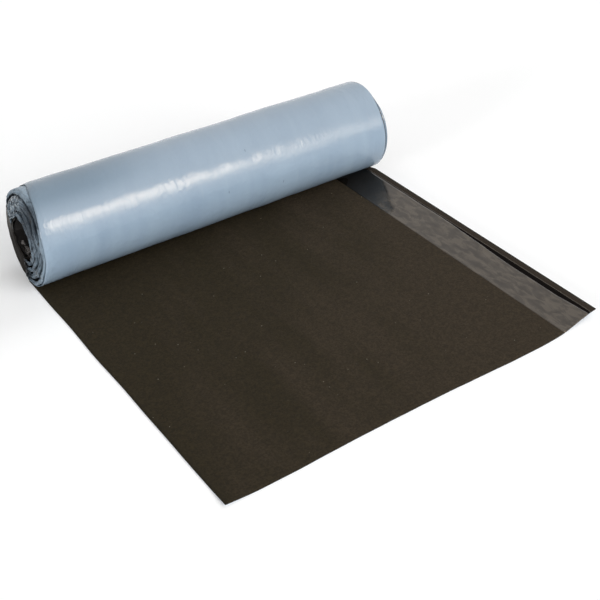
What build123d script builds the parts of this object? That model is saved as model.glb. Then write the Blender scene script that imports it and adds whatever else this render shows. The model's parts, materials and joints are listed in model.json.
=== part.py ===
from build123d import *
from math import cos, radians, sin, tan
import os

# Roofing underlayment: a coreless roll lying on its side, with its free end laid out on the floor.
# X runs along the roll, the sheet is laid out towards -Y and Z is up. The pieces are drawn with the
# roll's axis over Y = 0, then moved so that the origin is on the floor at the footprint's centre.

# The sheet and its layers
sheet_width = 1000.0
laid_length = 884.0
membrane_thickness = 1.5
film_thickness = 0.3
selvage_film_thickness = 0.3

# The roll
roll_radius = 121.0
bore_radius = 52.5
crevice_angle = 7.0
shoulder_left = 24.0
shoulder_right = 6.0
film_lean_left = 28.0
film_lean_right = 7.0

# The turns that show on the ends
turn_pitch = 5.6
turn_gap = 1.2
turn_depth = 2.0
bore_rim = 6.0

# The edge that curls up along the selvage
curl_margin = 125.0
curl_radius = 260.0
curl_angle = 7.2
flat_run = 22.0
curl_run = 75.0

# The clear strip along the selvage
selvage_margin = 19.0
selvage_film_width = 92.0

# Spare length that every cutter has beyond what it cuts
overrun = 10.0

half_width = sheet_width / 2
roll_place = (laid_length - roll_radius) / 2
lap_pitch = membrane_thickness + film_thickness
front_radius = roll_radius - lap_pitch / 2
front_height = roll_radius + lap_pitch / 2


def lap_arcs(inset):
    """The outer lap's back and front arcs, seen along X, this far inside its outer face."""
    back = CenterArc((0, roll_radius), roll_radius - inset, -90, 180)
    front = CenterArc((0, front_height), front_radius - inset, 90, 180 - crevice_angle)
    return back, front


def across(face, width):
    """A face drawn in Y and Z, given a width along X."""
    return extrude(Plane.YZ.offset(-width / 2) * face, amount=width)


def roll_section():
    """The wound roll seen along X, down to the crevice where it lies on the laid sheet."""
    back, front = lap_arcs(film_thickness)
    crevice = (-(front_height - lap_pitch) * tan(radians(crevice_angle)), lap_pitch)
    foot = Polyline(front @ 1, crevice, (-flat_run, lap_pitch), (-flat_run, film_thickness), back @ 0)
    return make_face([back, front, foot]) - Pos(0, roll_radius) * Circle(bore_radius)


def film_section():
    """The release film on the outer lap and under the start of the laid sheet, seen along X."""
    outer_back, outer_front = lap_arcs(0)
    inner_back, inner_front = lap_arcs(film_thickness)
    end = Line(outer_front @ 1, inner_front @ 1)
    foot = Polyline(inner_back @ 0, (-flat_run, film_thickness), (-flat_run, 0), (0, 0))
    return make_face([outer_back, outer_front, end, inner_front, inner_back, foot])


def shoulder_cutter(radius):
    """What is missing at the -X end where the turns slump: nothing low down, a full round on top."""
    start = roll_radius - radius / 2
    corner = CenterArc((-half_width + radius, start), radius, 90, 90)
    outside = Polyline(
        corner @ 1,
        (-half_width - overrun, start),
        (-half_width - overrun, start + radius + overrun),
        (-half_width + radius, start + radius + overrun),
        corner @ 0,
    )
    ring = revolve(Plane.XZ * make_face([corner, outside]), Axis.X)
    return Pos(0, 0, roll_radius - radius / 2) * ring


def turn_line(inset):
    """The line between the turns, spiralling in from the crevice on half circles."""
    arcs = []
    radius = roll_radius - lap_pitch - turn_pitch / 4 - inset
    foot = lap_pitch + inset
    while radius > bore_radius + bore_rim:
        arcs.append(CenterArc((0, foot + radius), radius, -90, 180))
        top = foot + 2 * radius
        radius -= turn_pitch / 2
        arcs.append(CenterArc((0, top - radius), radius, 90, 180))
        foot = top - 2 * radius
        radius -= turn_pitch / 2
    return arcs


def turn_groove():
    """The groove between the turns at the -X end, as one solid."""
    outer = turn_line(0)
    inner = turn_line(turn_gap)
    ends = [Line(outer[0] @ 0, inner[0] @ 0), Line(outer[-1] @ 1, inner[-1] @ 1)]
    face = make_face(outer + inner + ends)
    return extrude(Plane.YZ.offset(-half_width - overrun) * face, amount=overrun + turn_depth)


def sheet_level(height, start, end, bent):
    """Points and bends of one face of the laid sheet, seen along Y, between two distances across it.

    The distances run from the left edge; height is above the sheet's underside."""
    bend_start = sheet_width - curl_margin
    bend_length = curl_radius * radians(curl_angle)
    angle = radians(curl_angle) if bent else 0.0
    turn = curl_radius - height

    def place(distance):
        over = distance - bend_start
        if over <= 0 or not bent:
            return (distance - half_width, height)
        turned = min(over, bend_length) / curl_radius
        beyond = max(over - bend_length, 0)
        return (
            bend_start - half_width + turn * sin(turned) + beyond * cos(angle),
            curl_radius - turn * cos(turned) + beyond * sin(angle),
        )

    edges = []
    stops = [start] + [s for s in (bend_start, bend_start + bend_length) if start < s < end] + [end]
    for near, far in zip(stops, stops[1:]):
        if bent and near == bend_start:
            centre = (bend_start - half_width, curl_radius)
            edges.append(CenterArc(centre, turn, -90, curl_angle))
        else:
            edges.append(Line(place(near), place(far)))
    return edges


def layer_section(low, high, start, end, bent):
    """One layer of the laid sheet, seen along Y."""
    bottom = sheet_level(low, start, end, bent)
    top = sheet_level(high, start, end, bent)
    sides = [Line(bottom[0] @ 0, top[0] @ 0), Line(bottom[-1] @ 1, top[-1] @ 1)]
    return make_face(bottom + top + sides)


def laid_layer(low, high, start, end):
    """One layer of the laid sheet: flat by the roll, then with its selvage edge curled up."""
    flat = layer_section(low, high, start, end, False)
    bent = layer_section(low, high, start, end, True)
    rising = loft([Plane.XZ.offset(flat_run) * flat, Plane.XZ.offset(curl_run) * bent], ruled=True)
    length = laid_length - curl_run
    return rising + extrude(Plane.XZ.offset(curl_run) * bent, amount=length)


def build_membrane():
    """The bituminous membrane: the wound roll with its bore, and the length laid out from it."""
    groove = turn_groove()
    ends = shoulder_cutter(shoulder_left) + groove
    other_ends = mirror(shoulder_cutter(shoulder_right), Plane.YZ) + mirror(groove, Plane.YZ)
    roll = across(roll_section(), sheet_width) - ends - other_ends
    under_roll = across(Pos(-flat_run / 2, film_thickness + membrane_thickness / 2)
                        * Rectangle(flat_run, membrane_thickness), sheet_width)
    return roll + under_roll + laid_layer(film_thickness, lap_pitch, 0, sheet_width)


def build_release_film():
    """The release film round the roll and under the laid sheet, cut back where the turns slump."""
    wrap = across(film_section(), sheet_width)
    top = 2 * roll_radius
    for side, lean in ((-1, film_lean_left), (1, film_lean_right)):
        wedge = Polyline(
            (side * half_width, 0),
            (side * (half_width - lean), top),
            (side * (half_width - lean), top + overrun),
            (side * (half_width + overrun), top + overrun),
            (side * (half_width + overrun), 0),
            close=True,
        )
        wrap -= extrude(Plane.XZ * make_face(wedge), amount=roll_radius + overrun, both=True)
    return wrap + laid_layer(0, film_thickness, 0, sheet_width)


def build_selvage_film():
    """The clear strip over the selvage, just inside the curled edge."""
    outer = sheet_width - selvage_margin
    return laid_layer(lap_pitch, lap_pitch + selvage_film_thickness, outer - selvage_film_width, outer)


nodes = {
    "membrane": build_membrane(),
    "release_film": build_release_film(),
    "selvage_film": build_selvage_film(),
}

os.makedirs("parts", exist_ok=True)
for name, shape in nodes.items():
    placed = Pos(0, roll_place, 0) * shape
    export_step(placed, os.path.join("parts", name + ".step"))
    print(name, len(placed.solids()), "solid", round(placed.volume), "cubic mm")
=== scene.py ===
"""The looks of a roll of roofing underlayment: the wound roll, its film, the laid sheet and a studio."""

import json
import logging
import math
from dataclasses import dataclass
from enum import Enum
from typing import Any, Callable, Optional, Union

import bmesh
import bpy
from mathutils import Matrix, Vector, noise


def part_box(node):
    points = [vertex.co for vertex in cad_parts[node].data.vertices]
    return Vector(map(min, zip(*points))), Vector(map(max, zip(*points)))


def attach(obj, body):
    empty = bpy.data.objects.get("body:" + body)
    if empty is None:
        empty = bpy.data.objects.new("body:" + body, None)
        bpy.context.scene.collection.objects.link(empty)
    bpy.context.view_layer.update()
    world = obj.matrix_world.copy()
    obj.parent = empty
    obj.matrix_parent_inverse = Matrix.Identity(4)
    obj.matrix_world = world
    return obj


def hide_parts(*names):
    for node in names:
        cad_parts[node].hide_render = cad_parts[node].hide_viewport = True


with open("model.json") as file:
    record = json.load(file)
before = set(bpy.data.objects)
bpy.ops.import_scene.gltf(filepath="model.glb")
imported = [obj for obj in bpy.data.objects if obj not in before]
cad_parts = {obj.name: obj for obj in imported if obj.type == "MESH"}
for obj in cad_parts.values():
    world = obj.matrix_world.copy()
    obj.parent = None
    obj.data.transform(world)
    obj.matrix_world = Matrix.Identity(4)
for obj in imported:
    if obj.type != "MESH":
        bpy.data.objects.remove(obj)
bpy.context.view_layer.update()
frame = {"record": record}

log = logging.getLogger("underlayment")

FULL_TURN = 2 * math.pi
FLAT_MAP = "flat_sheet"
WELD = 1e-6
SHARP_TURN = math.radians(45)

Place = Callable[[float, float], Vector]
Triple = tuple[float, float, float]
Colour = Triple
Block = Union[bpy.types.Material, bpy.types.World]

WHITE = (1.0, 1.0, 1.0)
# Pitch black, also used as painted shade along the sheet's outer edge and in the seam.
PITCH_AND_SHADE_BLACK = (0.0030, 0.0024, 0.0022)


def ease(value: float, low: float, high: float) -> float:
    """A smooth step from 0 at low to 1 at high."""
    share = min(max((value - low) / (high - low), 0.0), 1.0)
    return share * share * (3 - 2 * share)


def blend(start: float, end: float, share: float) -> float:
    """The value that lies this share of the way from start to end."""
    return start + (end - start) * share


def ripple(seed: float, across: float = 0.0, along: float = 0.0) -> float:
    """Smooth noise between about -1 and 1, on a plane of its own for each seed."""
    return 2 * noise.noise(Vector((across, along, seed)))


def crumple(point: Vector) -> float:
    """Facets with sharp folds between them, from 0 in a facet's middle to about 1 at a fold."""
    distances, _ = noise.voronoi(point)
    return min(1.5 * distances[0], 1.0)


def near_turn(turned: float, middle: float, reach: float) -> float:
    """How near an angle round the roll is to a middle one, from 0 at its reach to 1, in degrees."""
    apart = abs((math.degrees(turned) - middle + 180) % 360 - 180)
    return 1 - ease(apart, 0.4 * reach, reach)


def smooth_back(turned: float) -> float:
    """How near the slumped end's smooth lower back is, where no film is crushed, from 0 to 1."""
    return near_turn(turned, 58, 62)


class End(Enum):
    """The two ends of the roll, by the sign of X."""

    LEFT = -1
    RIGHT = 1


class Stock(Enum):
    """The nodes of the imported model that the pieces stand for, each with its material slot."""

    MEMBRANE = ("membrane", "bitumen_membrane")
    FILM = ("release_film", "blue_release_film")
    STRIP = ("selvage_film", "clear_selvage_film")


@dataclass(frozen=True)
class RollFrame:
    """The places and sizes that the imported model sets, in metres."""

    half_width: float
    radius: float
    bore: float
    axis_y: float
    front_y: float
    strip_near: float
    strip_far: float

    @classmethod
    def from_model(cls, record: dict[str, Any]) -> "RollFrame":
        """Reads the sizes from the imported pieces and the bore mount.

        Args:
            record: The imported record.

        Returns:
            The sizes that every piece is built on.
        """
        low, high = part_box("release_film")
        strip_low, strip_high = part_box("selvage_film")
        bore = next(mount for mount in record["mounts"] if mount["kind"] == "bore")
        return cls(
            half_width=-low.x,
            radius=high.z / 2,
            bore=bore["dims"]["r_mm"] / 1000,
            axis_y=bore["pos_m"][1],
            front_y=low.y,
            strip_near=strip_low.x,
            strip_far=strip_high.x,
        )

    @property
    def laid_length(self) -> float:
        """How far the sheet is laid out from under the roll's axis."""
        return self.axis_y - self.front_y

    def on_roll(self, turned: float, radius: float, x: float) -> Vector:
        """A point of the roll, turned from its lowest line up its back."""
        return Vector((
            x,
            self.axis_y + radius * math.sin(turned),
            self.radius - radius * math.cos(turned),
        ))


@dataclass(frozen=True)
class Layers:
    """The thicknesses of the sheet's layers and the pitch that they wind at, in metres."""

    membrane: float = 0.0015
    film: float = 0.0003
    crevice: float = math.radians(7)

    @property
    def pitch(self) -> float:
        """What one turn adds to the roll's radius."""
        return self.membrane + self.film


class Wire:
    """A socket that Python arithmetic can use: each operator adds one Math node."""

    def __init__(self, bench: "Bench", socket: bpy.types.NodeSocket) -> None:
        """Keeps the socket and the bench that its nodes are added on."""
        self.bench = bench
        self.socket = socket

    def _math(self, operation: str, first: "Fed", second: "Fed" = 0.0) -> "Wire":
        """Adds a Math node for two values and returns its result."""
        inputs = {"Value": first, "Value_001": second}
        return self.bench.add("ShaderNodeMath", {"operation": operation}, inputs)

    def __add__(self, other: "Fed") -> "Wire":
        """This value plus the other."""
        return self._math("ADD", self, other)

    def __radd__(self, other: "Fed") -> "Wire":
        """The other value plus this one."""
        return self._math("ADD", other, self)

    def __sub__(self, other: "Fed") -> "Wire":
        """This value less the other."""
        return self._math("SUBTRACT", self, other)

    def __rsub__(self, other: "Fed") -> "Wire":
        """The other value less this one."""
        return self._math("SUBTRACT", other, self)

    def __mul__(self, other: "Fed") -> "Wire":
        """This value times the other."""
        return self._math("MULTIPLY", self, other)

    def __rmul__(self, other: "Fed") -> "Wire":
        """The other value times this one."""
        return self._math("MULTIPLY", other, self)

    def __gt__(self, other: "Fed") -> "Wire":
        """One where this value is above the other, else zero."""
        return self._math("GREATER_THAN", self, other)

    def __abs__(self) -> "Wire":
        """This value without its sign."""
        return self._math("ABSOLUTE", self)

    def fraction(self) -> "Wire":
        """What is left of this value above the whole number below it."""
        return self._math("FRACT", self)

    def ease(self, low: float, high: float) -> "Wire":
        """A smooth step from 0 at low to 1 at high."""
        inputs = {"Value": self, "From Min": low, "From Max": high}
        return self.bench.add("ShaderNodeMapRange", {"interpolation_type": "SMOOTHSTEP"}, inputs)


Fed = Union[Wire, float, Colour, Vector]


@dataclass(frozen=True)
class Pattern:
    """A soft pattern of noise: its features to a metre, and how detailed and how warped they are.

    It has as many features along as across, unless a number along is given. The edges are the two
    values between which it eases from 0 to 1, and without them it stays around 0.5.
    """

    across: float
    along: float = 0.0
    detail: float = 2.0
    warp: float = 0.0
    edges: Optional[tuple[float, float]] = None


class Bench:
    """The place where the nodes of one material, or of the sky, are put together."""

    def __init__(self, block: Block) -> None:
        """Starts with the material's or world's node tree, emptied.

        Args:
            block: The material or world.
        """
        block.use_nodes = True
        block.node_tree.nodes.clear()
        self.block = block
        self.tree = block.node_tree

    @classmethod
    def of(cls, name: str) -> "Bench":
        """The bench of a new material."""
        return cls(bpy.data.materials.new(name))

    def add(
        self,
        kind: str,
        settings: Optional[dict[str, Any]] = None,
        inputs: Optional[dict[str, Fed]] = None,
        output: Union[int, str] = 0,
    ) -> Wire:
        """Adds one node.

        Args:
            kind: The node's type.
            settings: What is set on the node itself, before its sockets.
            inputs: Values or wires, by the socket's identifier or name.
            output: Which output to return, by place or name.

        Returns:
            The chosen output.
        """
        node = self.tree.nodes.new(kind)
        for name, value in (settings or {}).items():
            setattr(node, name, value)
        for name, value in (inputs or {}).items():
            self.feed(self.find(node.inputs, name), value)
        chosen = node.outputs[output] if isinstance(output, int) else self.find(node.outputs, output)
        return Wire(self, chosen)

    @staticmethod
    def find(sockets: Any, name: str) -> bpy.types.NodeSocket:
        """The socket with this identifier, or else with this name."""
        return next((socket for socket in sockets if socket.identifier == name), None) or sockets[name]

    def feed(self, socket: bpy.types.NodeSocket, value: Fed) -> None:
        """Links a wire to a socket, or sets the value on it.

        Args:
            socket: The input socket.
            value: The wire, or the value; a colour is given without its alpha.
        """
        if isinstance(value, Wire):
            self.tree.links.new(value.socket, socket)
        elif socket.type == "RGBA":
            socket.default_value = (*value, 1.0)
        else:
            socket.default_value = value

    def object_place(self) -> Wire:
        """The object coordinates, which are metres in the part's own frame."""
        return self.add("ShaderNodeTexCoord", output="Object")

    def flat_place(self) -> Wire:
        """The place on the flat sheet, in metres across and along it."""
        return self.add("ShaderNodeUVMap", {"uv_map": FLAT_MAP})

    def split(self, vector: Wire, axis: str) -> Wire:
        """One of a vector's three values."""
        return self.add("ShaderNodeSeparateXYZ", inputs={"Vector": vector}, output=axis)

    def stretch(self, vector: Wire, scale: Triple) -> Wire:
        """A vector scaled by its own number along each axis."""
        inputs = {"Vector": vector, "Vector_001": scale}
        return self.add("ShaderNodeVectorMath", {"operation": "MULTIPLY"}, inputs)

    def pattern(self, place: Wire, kind: Pattern) -> Wire:
        """Lays a pattern of noise over the piece.

        Args:
            place: Where it is laid: over the flat sheet, or in the part's own frame.
            kind: The pattern.

        Returns:
            The pattern, around 0.5, or from 0 to 1 where it has edges.
        """
        inputs = {"Vector": place, "Scale": kind.across, "Detail": kind.detail, "Distortion": kind.warp}
        if kind.along:
            inputs["Vector"] = self.stretch(place, (kind.across, kind.along, 1.0))
            inputs["Scale"] = 1.0
        soft = self.add("ShaderNodeTexNoise", inputs=inputs)
        return soft.ease(*kind.edges) if kind.edges else soft

    def cells(self, vector: Wire, scale: float, output: str = "Distance") -> Wire:
        """Distance to the nearest scattered point, or that point's own colour."""
        return self.add("ShaderNodeTexVoronoi", inputs={"Vector": vector, "Scale": scale}, output=output)

    def apart(self, place: Wire, middle: Triple) -> Wire:
        """The distance from a middle point."""
        inputs = {"Vector": place, "Vector_001": middle}
        return self.add("ShaderNodeVectorMath", {"operation": "DISTANCE"}, inputs, output="Value")

    def mix(self, share: Fed, start: Fed, end: Fed) -> Wire:
        """A colour between two colours."""
        inputs = {"Factor_Float": share, "A_Color": start, "B_Color": end}
        return self.add("ShaderNodeMix", {"data_type": "RGBA"}, inputs, output="Result_Color")

    def shaded(self, colour: Wire, factor: float) -> Wire:
        """A colour made this many times as light."""
        return self.stretch(colour, (factor, factor, factor))

    def relief(self, height: Wire, distance: float) -> Wire:
        """A bumped normal, where a height of 1 stands this far out in metres."""
        return self.add("ShaderNodeBump", inputs={"Height": height, "Distance": distance})

    def coat(self, **sockets: Fed) -> bpy.types.Material:
        """Ends the tree in one Principled shader.

        Args:
            sockets: The shader's inputs, named with underscores for spaces.

        Returns:
            The finished material.
        """
        inputs = {name.replace("_", " "): value for name, value in sockets.items()}
        shader = self.add("ShaderNodeBsdfPrincipled", inputs=inputs)
        return self.shown(shader)

    def seen(self) -> Wire:
        """One for rays from the camera, from a mirror and through glass, else zero.

        Returns:
            The ray test, as 1 or 0.
        """
        kinds = ("Is Camera Ray", "Is Glossy Ray", "Is Transmission Ray")
        camera, glossy, clear = (self.add("ShaderNodeLightPath", output=kind) for kind in kinds)
        return (camera + glossy + clear).ease(0.0, 1.0)

    def shown(self, shader: Wire, output: str = "ShaderNodeOutputMaterial") -> Block:
        """Sends a shader to the output.

        Args:
            shader: The finished shader.
            output: The output node's type.

        Returns:
            The finished material or world.
        """
        node = self.tree.nodes.new(output)
        self.feed(node.inputs["Surface"], shader)
        return self.block


@dataclass(frozen=True)
class MembraneFinish:
    """Bituminous membrane: matt, nearly black brown, with fine sand in it."""

    hairline: float
    brown: Colour = (0.0305, 0.0222, 0.0130)
    olive: Colour = (0.0192, 0.0142, 0.0062)
    sand: Colour = (0.200, 0.180, 0.140)
    band: Colour = (0.0190, 0.0140, 0.0110)
    # painted highlight: pale colour of the hairline's crest
    tone_shift: Colour = (0.150, 0.135, 0.120)
    hairline_width: float = 0.0011
    # painted shade: width of the black strip along the outer edge
    edge_shade_width: float = 0.0022
    mottle: Pattern = Pattern(70.0, detail=5.0, edges=(0.30, 0.72))
    grain: Pattern = Pattern(1400.0, detail=3.0)
    grit: Pattern = Pattern(240.0, edges=(0.30, 0.70))
    pits: Pattern = Pattern(420.0)
    streaks: Pattern = Pattern(9.0, along=2.2, detail=4.0)
    smudge: Pattern = Pattern(420.0, along=60.0, detail=3.0, edges=(0.40, 0.62))
    coarse_sand: tuple[float, float] = (75.0, 0.11)
    fine_sand: tuple[float, float] = (620.0, 0.26)
    relief: float = 0.00045
    browner_across: float = 0.34
    browner_along: float = 0.20
    darkening: float = 0.80
    gritty: float = 0.70
    bare: float = 1.24

    def material(self) -> bpy.types.Material:
        """The membrane's material, with a painted highlight on the hairline's crest, a darker band outside
        the clear strip and painted shade along the outer edge.

        Returns:
            The material.
        """
        bench = Bench.of("bitumen_membrane")
        place = bench.object_place()
        mottle = bench.pattern(place, self.mottle)
        grain = bench.pattern(place, self.grain)
        base = bench.mix(self.tone(bench), self.brown, self.olive)
        base = bench.mix(mottle, bench.shaded(base, self.darkening), base)
        grit = bench.pattern(place, self.grit)
        base = bench.mix(grit, bench.shaded(base, self.gritty), bench.shaded(base, self.bare))
        specks = self.specks(bench, place, *self.coarse_sand)
        specks += self.specks(bench, place, *self.fine_sand) * 0.2
        base = self.edges(bench, bench.mix(specks, base, self.sand))
        height = grain + bench.pattern(place, self.pits) * 0.8 + mottle * 0.3
        return bench.coat(
            Base_Color=base,
            Roughness=0.93 - grain * 0.10,
            Specular_IOR_Level=0.22,
            Normal=bench.relief(height, self.relief),
        )

    def tone(self, bench: Bench) -> Wire:
        """How olive the sheet is: streaked along its length, and browner to the right and the front.

        Args:
            bench: The bench that the material's nodes go on.

        Returns:
            The share of olive, from 0 to 1.
        """
        flat = bench.flat_place()
        browner = bench.split(flat, "X") * self.browner_across + bench.split(flat, "Y") * self.browner_along
        return (bench.pattern(flat, self.streaks) * 0.7 - browner).ease(-0.04, 0.24)

    def edges(self, bench: Bench, base: Wire) -> Wire:
        """The colour with the hairline's painted highlight, the darker band outside it and the cut edge
        along the selvage, painted black as its shade.

        Args:
            bench: The bench that the material's nodes go on.
            base: The colour of the open sheet.

        Returns:
            The colour with its edges.
        """
        flat = bench.flat_place()
        across = bench.split(flat, "X")
        line_end = self.hairline + self.hairline_width
        smudge = bench.pattern(flat, self.smudge)
        base = bench.mix((across > line_end) * (0.45 + smudge * 0.4), base, self.band)
        # Painted highlight: the hairline's crest is painted pale.
        base = bench.mix((across > self.hairline) - (across > line_end), base, self.tone_shift)
        # Painted shade: the outer edge is painted pitch black, for the edge in shadow.
        return bench.mix(across > 1.0 - self.edge_shade_width, base, PITCH_AND_SHADE_BLACK)

    @staticmethod
    def specks(bench: Bench, place: Wire, scale: float, size: float) -> Wire:
        """Scattered grains of light sand, only a few of which show.

        Args:
            bench: The bench that the material's nodes go on.
            place: The object coordinates.
            scale: How many grains lie along a metre.
            size: A grain's radius, as a share of their spacing.

        Returns:
            How much of a grain shows, from 0 to 1.
        """
        near = 1.0 - bench.cells(place, scale).ease(size * 0.5, size)
        chance = bench.split(bench.cells(place, scale, "Color"), "X")
        return near * chance.ease(0.86, 1.0)


@dataclass(frozen=True)
class CutEdgeFinish:
    """The cut edge of the wound membrane: black bitumen, a little shiny, with film lint on it."""

    axis: Triple
    pitch: float
    hollow: float
    black: Colour = (0.014, 0.012, 0.011)
    lint: Colour = (0.10, 0.11, 0.12)
    paler_tone: Colour = (0.052, 0.048, 0.045)
    film_edge: Colour = (0.20, 0.25, 0.30)
    film_share: tuple[float, float] = (0.17, 0.30)
    smear: Pattern = Pattern(90.0, detail=4.0, edges=(0.55, 0.80))
    grain: Pattern = Pattern(1100.0)
    faint: Pattern = Pattern(26.0, detail=3.0, edges=(0.38, 0.62))
    relief: float = 0.0003

    def material(self) -> bpy.types.Material:
        """The material of the turns on the roll's ends and in its bore.

        Returns:
            The material.
        """
        bench = Bench.of("wound_membrane")
        place = bench.object_place()
        smear = bench.pattern(place, self.smear)
        grain = bench.pattern(place, self.grain)
        base = bench.mix(smear * 0.30, self.black, self.lint)
        rings, lines = self.turns(bench, place)
        base = bench.mix(rings, base, self.paler_tone)
        return bench.coat(
            Base_Color=bench.mix(lines, base, self.film_edge),
            Roughness=0.78 - grain * 0.18,
            Specular_IOR_Level=0.30,
            Normal=bench.relief(grain, self.relief),
        )

    def turns(self, bench: Bench, place: Wire) -> tuple[Wire, Wire]:
        """What shows on the neat end: turns that are paler from rubbing, and the film's edge beside each.

        Args:
            bench: The bench that the nodes go on.
            place: The object coordinates.

        Returns:
            How pale each turn is, and where the film's edge shows.
        """
        radius = bench.apart(bench.stretch(place, (0.0, 1.0, 1.0)), self.axis)
        neat = (bench.split(place, "X") > 0.0) * (radius > self.hollow)
        back = bench.split(place, "Y") - self.axis[1]
        down = self.axis[2] - bench.split(place, "Z")
        turned = bench.add("ShaderNodeMath", {"operation": "ARCTAN2"}, {"Value": back, "Value_001": down})
        inwards = (self.axis[2] - radius) * (1 / self.pitch)
        row = (inwards - turned * (1 / FULL_TURN)).fraction()
        edge = (row > self.film_share[0]) - (row > self.film_share[1])
        faint = bench.pattern(place, self.faint)
        tone_shift = bench.add("ShaderNodeTexNoise", {"noise_dimensions": "1D"}, {"W": inwards, "Scale": 0.9})
        rings = tone_shift.ease(0.40, 0.62) * neat
        return rings * 0.8, edge * neat * (faint * 0.6 + rings * 0.4)


@dataclass(frozen=True)
class SmearedFinish:
    """Bitumen smeared smooth over the cut turns: brown black low down, and painted light that makes it
    paler higher up.
    """

    black: Colour = (0.012, 0.010, 0.0085)
    # painted light: the paler colour of the higher part
    painted_light_grey: Colour = (0.165, 0.162, 0.152)
    painted_light_heights: tuple[float, float] = (0.085, 0.165)
    wander: float = 0.05
    drift: Pattern = Pattern(45.0, detail=3.0)
    grain: Pattern = Pattern(700.0)
    relief: float = 0.0003

    def material(self) -> bpy.types.Material:
        """The material of the smooth cover low on the back of the slumped end.

        Returns:
            The material.
        """
        bench = Bench.of("smeared_bitumen")
        place = bench.object_place()
        # Painted light: the cover is painted paler the higher it stands.
        paler_tone = bench.split(place, "Z") + (bench.pattern(place, self.drift) - 0.5) * self.wander
        grain = bench.pattern(place, self.grain)
        return bench.coat(
            Base_Color=bench.mix(paler_tone.ease(*self.painted_light_heights) * 0.8, self.black, self.painted_light_grey),
            Roughness=0.75 - grain * 0.10,
            Specular_IOR_Level=0.06,
            Normal=bench.relief(grain, self.relief),
        )


@dataclass(frozen=True)
class PlainBlackFinish:
    """Bare bitumen deep in a seam, pitch black with no shine at all as painted shade of the seam."""

    def material(self) -> bpy.types.Material:
        """The seam's material."""
        # Painted shade: pitch black without shine stands in for the shade in the seam.
        return Bench.of("seam_bitumen_and_painted_shade").coat(Base_Color=PITCH_AND_SHADE_BLACK, Roughness=0.9, Specular_IOR_Level=0.05)


@dataclass(frozen=True)
class FilmFinish:
    """Pale blue release film: thin plastic with a soft gloss, faint bands and fine creases."""

    tint: Colour = (0.312, 0.404, 0.500)
    shade: Colour = (0.272, 0.360, 0.458)
    chalk: Colour = (0.420, 0.470, 0.520)
    # painted light: greyer colour for the back, the top and the highlight band
    painted_upper_grey: Colour = (0.262, 0.312, 0.368)
    # painted shade: darker colour for the back and top of the roll's left part
    darkening: Colour = (0.150, 0.212, 0.272)
    # painted shade of short creases
    crease_shade: Colour = (0.060, 0.075, 0.095)
    roughness: float = 0.17
    painted_upper_grey_until: tuple[float, float] = (0.48, 0.56)
    painted_shade_until: tuple[float, float] = (0.42, 0.49)
    painted_shade_across: tuple[float, float] = (0.10, 0.42)
    crinkled_across: tuple[float, float] = (0.0, 0.05)
    crease_shade_spread: Triple = (42.0, 13.0, 1.0)
    crinkle_spread: Triple = (150.0, 80.0, 1.0)
    bands: Pattern = Pattern(19.0, along=2.4, detail=3.0)
    broad: Pattern = Pattern(5.5, detail=3.0)
    rub: Pattern = Pattern(60.0, along=9.0, detail=4.0, edges=(0.60, 0.86))
    waves: Pattern = Pattern(13.0, along=9.0)
    dents: Pattern = Pattern(55.0, along=38.0, detail=3.0, warp=0.6)
    fold: Pattern = Pattern(34.0, along=12.0, warp=1.0)
    pleated: Pattern = Pattern(9.0, edges=(0.50, 0.70))
    fine: Pattern = Pattern(330.0, along=180.0, detail=3.0)
    streaks: Pattern = Pattern(80.0, along=34.0, detail=4.0, warp=0.5)
    relief: float = 0.001

    def material(self) -> bpy.types.Material:
        """The material of the film that is wound or laid flat.

        Returns:
            The material.
        """
        bench = Bench.of("blue_release_film")
        place = bench.flat_place()
        bands = bench.pattern(place, self.bands)
        broad = bench.pattern(place, self.broad)
        base = bench.mix((bands * 0.55 + broad * 0.45).ease(0.34, 0.66), self.shade, self.tint)
        base = bench.mix(bench.pattern(place, self.rub) * 0.25, base, self.chalk)
        across, along = bench.split(place, "X"), bench.split(place, "Y")
        # Painted light: the back, the top and the highlight band are painted greyer.
        base = bench.mix((1.0 - along.ease(*self.painted_upper_grey_until)) * 0.5, base, self.painted_upper_grey)
        # Painted shade: darker over the back and top of the roll's left part.
        darkening = (1.0 - across.ease(*self.painted_shade_across)) * (1.0 - along.ease(*self.painted_shade_until))
        base = bench.mix(darkening * 0.85, base, self.darkening)
        # Painted shade: short dark marks for creases that run round the roll.
        base = bench.mix(self.crease_shades(bench, place) * 0.45, base, self.crease_shade)
        return bench.coat(
            Base_Color=base,
            Roughness=self.roughness + broad * 0.08,
            Specular_IOR_Level=0.5,
            Normal=bench.relief(self.creases(bench, place), self.relief),
        )

    def crease_shades(self, bench: Bench, place: Wire) -> Wire:
        """Painted shade of short creases, far apart, that run round the roll.

        Args:
            bench: The bench that the material's nodes go on.
            place: The place on the flat film.

        Returns:
            The painted crease shade, from 0 to 1.
        """
        spread = bench.stretch(place, self.crease_shade_spread)
        near = 1.0 - bench.cells(spread, 1.0).ease(0.025, 0.070)
        return near * bench.split(bench.cells(spread, 1.0, "Color"), "X").ease(0.80, 0.86)

    def creases(self, bench: Bench, place: Wire) -> Wire:
        """Heights in millimetres of the film's waves, pleats and fine wrinkles.

        Args:
            bench: The bench that the material's nodes go on.
            place: The place on the flat film.

        Returns:
            The height.
        """
        waves = bench.pattern(place, self.waves)
        dents = bench.pattern(place, self.dents)
        pleats = (1.0 - abs(bench.pattern(place, self.fold) - 0.5) * 11.0).ease(0.0, 1.0)
        pleats *= bench.pattern(place, self.pleated)
        fine = bench.pattern(place, self.fine)
        streaks = bench.pattern(place, self.streaks)
        edge = 1.0 - bench.split(place, "X").ease(*self.crinkled_across)
        crinkles = bench.cells(bench.stretch(place, self.crinkle_spread), 1.0) * edge
        height = waves * 0.9 + dents * 0.34 + streaks * 0.85 + crinkles * 0.80
        return height + pleats * 0.28 + fine * 0.050


@dataclass(frozen=True)
class Patch:
    """A round patch with a soft, wandering rim, in metres: full within the core's share of its reach."""

    middle: Triple
    reach: float
    wander: float = 0.0
    core: float = 0.6


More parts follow.
